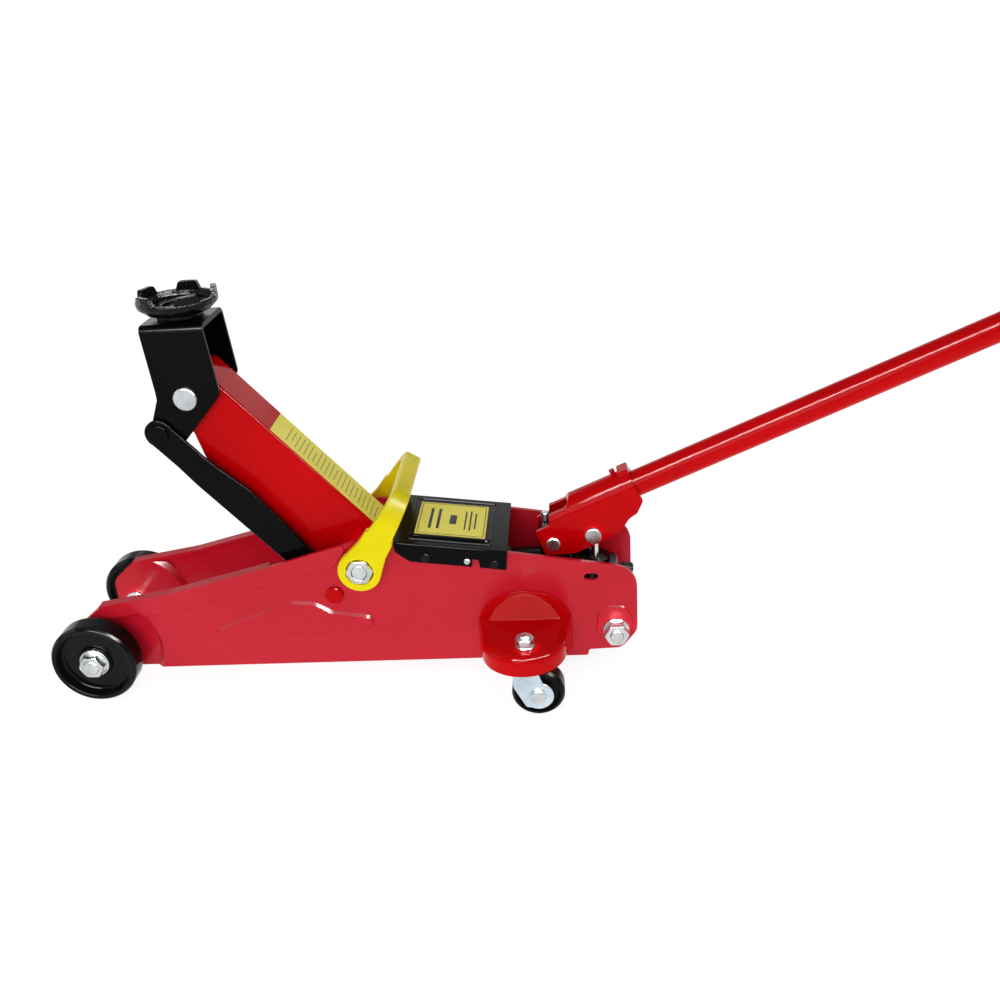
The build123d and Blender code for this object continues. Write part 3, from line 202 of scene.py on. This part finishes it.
def eased(name, width):
    """A CAD node again, with its hard edges eased over as paint or a press leaves them."""
    source = NODES[name]
    work = bmesh.new()
    work.from_mesh(source.data)
    work.transform(source.matrix_world)
    bmesh.ops.remove_doubles(work, verts=work.verts, dist=MERGE)
    bmesh.ops.dissolve_limit(work, angle_limit=FLAT, verts=work.verts, edges=work.edges)
    hard = [e for e in work.edges if len(e.link_faces) == 2 and e.calc_face_angle() > HARD
            and e.calc_length() > width * SHORTEST]
    bmesh.ops.bevel(work, geom=hard, offset=width, offset_type="OFFSET", segments=2,
                    profile=0.5, affect="EDGES", clamp_overlap=False)
    bmesh.ops.remove_doubles(work, verts=work.verts, dist=REJOIN)
    for face in work.faces:
        face.smooth = True
    mesh = bpy.data.meshes.new(name + "_eased")
    work.to_mesh(mesh)
    work.free()
    mesh.set_sharp_from_angle(angle=CREASE)
    made = add_piece(name + "_eased", mesh, BODY_OF[name], finish_for(name))
    weighted = made.modifiers.new("weighted", "WEIGHTED_NORMAL")
    weighted.keep_sharp = True
    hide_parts(name)


# Width of the ease on each node's hard edges, in metres.
EASED = {
    "lift_arm": 0.0005, "link_left": 0.0011, "link_right": 0.0011,
    "saddle_bracket": 0.0005, "caster_bracket_left": 0.0004, "caster_bracket_right": 0.0004,
    "caster_fork_left": 0.0004, "caster_fork_right": 0.0004, "cover_plate": 0.0003,
    "handle_socket": 0.0005, "power_block": 0.0006, "carry_bail": 0.0009,
    "main_pivot_nut": 0.0003, "rear_tie_nut": 0.0003, "king_nuts": 0.0003,
    "axle_nuts": 0.0003, "caster_races": 0.0003, "arm_pivot_tube": 0.0004,
    "ram_head": 0.0006, "tank_head": 0.0005, "vent_screw": 0.0003,
    "release_valve": 0.0003, "pump_cylinder": 0.0003, "handle_lower_tube": 0.0004,
    "handle_upper_tube": 0.0003, "rear_tie": 0.0003, "main_pivot_bolt": 0.0003,
    "front_axle": 0.0003,
}
for name, width in EASED.items():
    eased(name, width)


def boxes(name, placed, body, material):
    """One piece made of small bevelled blocks; each is (centre, three half-axes)."""
    work = bmesh.new()
    for centre, axes in placed:
        turn = Matrix((*axes,)).transposed().to_4x4()
        made = bmesh.ops.create_cube(work, size=2.0, matrix=Matrix.Translation(centre) @ turn)
        edges = {e for v in made["verts"] for e in v.link_edges}
        ease = min(a.length for a in axes) * 0.4
        bmesh.ops.bevel(work, geom=list(edges), offset=ease, segments=1, profile=0.5, affect="EDGES")
    mesh = bpy.data.meshes.new(name)
    work.to_mesh(mesh)
    work.free()
    return add_piece(name, mesh, body, material)


RULE = 0.00008                   # half the height of a printed rule, which is half buried
ink = MATERIALS["seal_rubber"]

# Arm label: a run of thin cross rules, as plain lines with nothing to read.
ARM_TILT = radians(130.43)       # from +X up to the line from main pivot to the arm's tip
ARM_LABEL_TOP = 0.0223           # label's face, from the line between pivot and tip
ARM_RULES = 22
ARM_RULE_START = 0.014
ARM_RULE_PITCH = 0.0042
ARM_RULE_THICK = 0.00022
arm_along = Vector((cos(ARM_TILT), 0.0, sin(ARM_TILT)))
arm_out = Vector((sin(ARM_TILT), 0.0, -cos(ARM_TILT)))
arm_top = at(ARM_PIVOT[0], 0.0, ARM_PIVOT[1]) + arm_out * ARM_LABEL_TOP
rules = []
for step in range(ARM_RULES):
    place = ARM_RULE_START + step * ARM_RULE_PITCH
    half = 0.0112 if step % 5 else 0.0085
    shift = (step % 3) * 0.0008
    rules.append((arm_top + arm_along * place + Vector((0.0, shift - 0.001, 0.0)),
                  (arm_along * ARM_RULE_THICK, Vector((0.0, half, 0.0)), arm_out * RULE)))
boxes("arm_label_rules", rules, BODY_OF["arm_label"], ink)

# Cover label: a border of four thin rules round six plain bars.
cover_start = at(239.2, 0.0, 118.9)
cover_along = (at(322.6, 0.0, 107.6) - cover_start).normalized()
cover_out = Vector((-cover_along.z, 0.0, cover_along.x))
COVER_LABEL_MIDDLE = 0.0404      # along the cover from its front edge
COVER_LABEL_TOP = 0.0016         # label's face, above the cover's datum line
cover_middle = cover_start + cover_along * COVER_LABEL_MIDDLE + cover_out * COVER_LABEL_TOP
BORDER = 0.0248                  # border rules, from the label's middle
BORDER_THICK = 0.0003
# Bars across the label: place along it, half thickness and half length.
BAR_ROWS = ((-0.0165, 0.0011, 0.0165), (-0.0105, 0.0011, 0.0165), (0.0005, 0.0026, 0.0075),
            (0.0100, 0.0006, 0.0150), (0.0138, 0.0006, 0.0165), (0.0176, 0.0006, 0.0130))
marks = [(cover_middle + cover_along * place,
          (cover_along * thick, Vector((0.0, half, 0.0)), cover_out * RULE))
         for place, thick, half in BAR_ROWS]
for side in (-BORDER, BORDER):
    marks.append((cover_middle + cover_along * side,
                  (cover_along * BORDER_THICK, Vector((0.0, BORDER, 0.0)), cover_out * RULE)))
    marks.append((cover_middle + Vector((0.0, side, 0.0)),
                  (cover_along * BORDER, Vector((0.0, BORDER_THICK, 0.0)), cover_out * RULE)))
boxes("cover_label_rules", marks, BODY_OF["cover_label"], ink)


def split_screws(name, black_at):
    """The cover's fixings again: the black screws in one piece, the bright rivets in another."""
    for suffix, slot, chosen in (("_black", "cast_black", True), ("_bright", SLOT_OF[name], False)):
        work = bmesh.new()
        work.from_mesh(NODES[name].data)
        work.transform(NODES[name].matrix_world)
        bmesh.ops.remove_doubles(work, verts=work.verts, dist=MERGE)
        left_over = set(work.verts)
        drop = []
        while left_over:
            queue = [left_over.pop()]
            island = set(queue)
            while queue:
                for edge in queue.pop().link_edges:
                    for other in edge.verts:
                        if other not in island:
                            island.add(other)
                            queue.append(other)
            left_over -= island
            middle_x = sum(v.co.x for v in island) / len(island)
            black = min(abs(middle_x - at(x, 0, 0).x) for x in black_at) < 0.003
            if black != chosen:
                drop += list(island)
        bmesh.ops.delete(work, geom=drop, context="VERTS")
        for face in work.faces:
            face.smooth = True
        mesh = bpy.data.meshes.new(name + suffix)
        work.to_mesh(mesh)
        work.free()
        mesh.set_sharp_from_angle(angle=radians(40))
        made = add_piece(name + suffix, mesh, BODY_OF[name], MATERIALS[slot])
        if not chosen:
            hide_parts(name)


BLACK_SCREWS_X = (262.0, 312.6)  # mm from the front axle
split_screws("cover_screws", BLACK_SCREWS_X)

# ---------------------------------------------------------------- stage, light and camera
REACH = 60.0                     # half the floor's side
WALL_HEIGHT = 12.0


def stage_sheet(name, corners, base, specular, glow):
    """One flat sheet of the studio, in a matt white that gives off a little light."""
    mesh = bpy.data.meshes.new(name)
    mesh.from_pydata(corners, [], [(0, 1, 2, 3)])
    sheet = bpy.data.objects.new(name, mesh)
    bpy.context.scene.collection.objects.link(sheet)
    mesh.materials.append(Graph(name + "_white").set(
        Base_Color=(base, base, base, 1.0), Roughness=0.95, Specular_IOR_Level=specular,
        Emission_Color=(1.0, 1.0, 1.0, 1.0), Emission_Strength=glow))


FLOOR = [(-REACH, -REACH, 0), (REACH, -REACH, 0), (REACH, REACH, 0), (-REACH, REACH, 0)]
WALL_Y = REACH - 1
BACKDROP = [(-REACH, WALL_Y, 0), (REACH, WALL_Y, 0), (REACH, WALL_Y, WALL_HEIGHT),
            (-REACH, WALL_Y, WALL_HEIGHT)]
stage_sheet("floor", FLOOR, 0.30, 0.05, 0.87)
stage_sheet("backdrop", BACKDROP, 0.1, 0.0, 1.2)

world = bpy.data.worlds.new("studio")
world.use_nodes = True
sky = world.node_tree.nodes["Background"]
sky.inputs["Color"].default_value = (1.0, 1.0, 1.0, 1.0)
sky.inputs["Strength"].default_value = 0.42
bpy.context.scene.world = world


def softbox(name, place, target, width, height, radiance, lights=True):
    """Rectangular lamp; with lights False it only shows in reflections."""
    lamp = bpy.data.lights.new(name, "AREA")
    lamp.shape = "RECTANGLE"
    lamp.size = width
    lamp.size_y = height
    lamp.energy = radiance * pi * width * height
    holder = bpy.data.objects.new(name, lamp)
    holder.location = place
    holder.rotation_euler = (Vector(target) - Vector(place)).to_track_quat("-Z", "Y").to_euler()
    holder.visible_diffuse = lights
    bpy.context.scene.collection.objects.link(holder)


softbox("key", (-0.5, -2.2, 1.1), (-0.1, 0.0, 0.1), 1.6, 1.2, 3.5)
softbox("fill", (-2.2, -0.3, 1.2), (-0.1, 0.0, 0.1), 1.2, 1.0, 1.6)
softbox("back", (-0.1, 2.4, 1.1), (-0.1, 0.0, 0.15), 3.0, 0.6, 1.4)
softbox("tube", (0.55, -1.1, 1.62), (0.3, 0.0, 0.2), 3.4, 0.42, 85.0, lights=False)
softbox("edge", (-0.9, -1.6, 1.9), (-0.2, 0.0, 0.15), 0.4, 0.4, 22.0, lights=False)

# Camera: turned about +Z, tipped down, and rolled about its own view line.
YAW = radians(-4.4747)
PITCH = radians(25.6904)
ROLL = radians(-4.1639)
CAMERA_AT = (371.81, -700.72, 468.29)  # mm from the front axle, on the ground
SENSOR = 36.0
FOCAL_LENGTH = 36.953
forward = Vector((sin(YAW) * cos(PITCH), cos(YAW) * cos(PITCH), -sin(PITCH)))
right = Vector((cos(YAW), -sin(YAW), 0.0))
up = right.cross(forward)
rolled_right = right * cos(ROLL) + up * sin(ROLL)
rolled_up = up * cos(ROLL) - right * sin(ROLL)
lens = bpy.data.cameras.new("camera")
lens.sensor_width = SENSOR
lens.lens = FOCAL_LENGTH
camera = bpy.data.objects.new("camera", lens)
turn = Matrix((rolled_right, rolled_up, -forward)).transposed().to_4x4()
camera.matrix_world = Matrix.Translation(at(*CAMERA_AT)) @ turn
bpy.context.scene.collection.objects.link(camera)
bpy.context.scene.camera = camera
bpy.context.scene.view_settings.view_transform = "Standard"
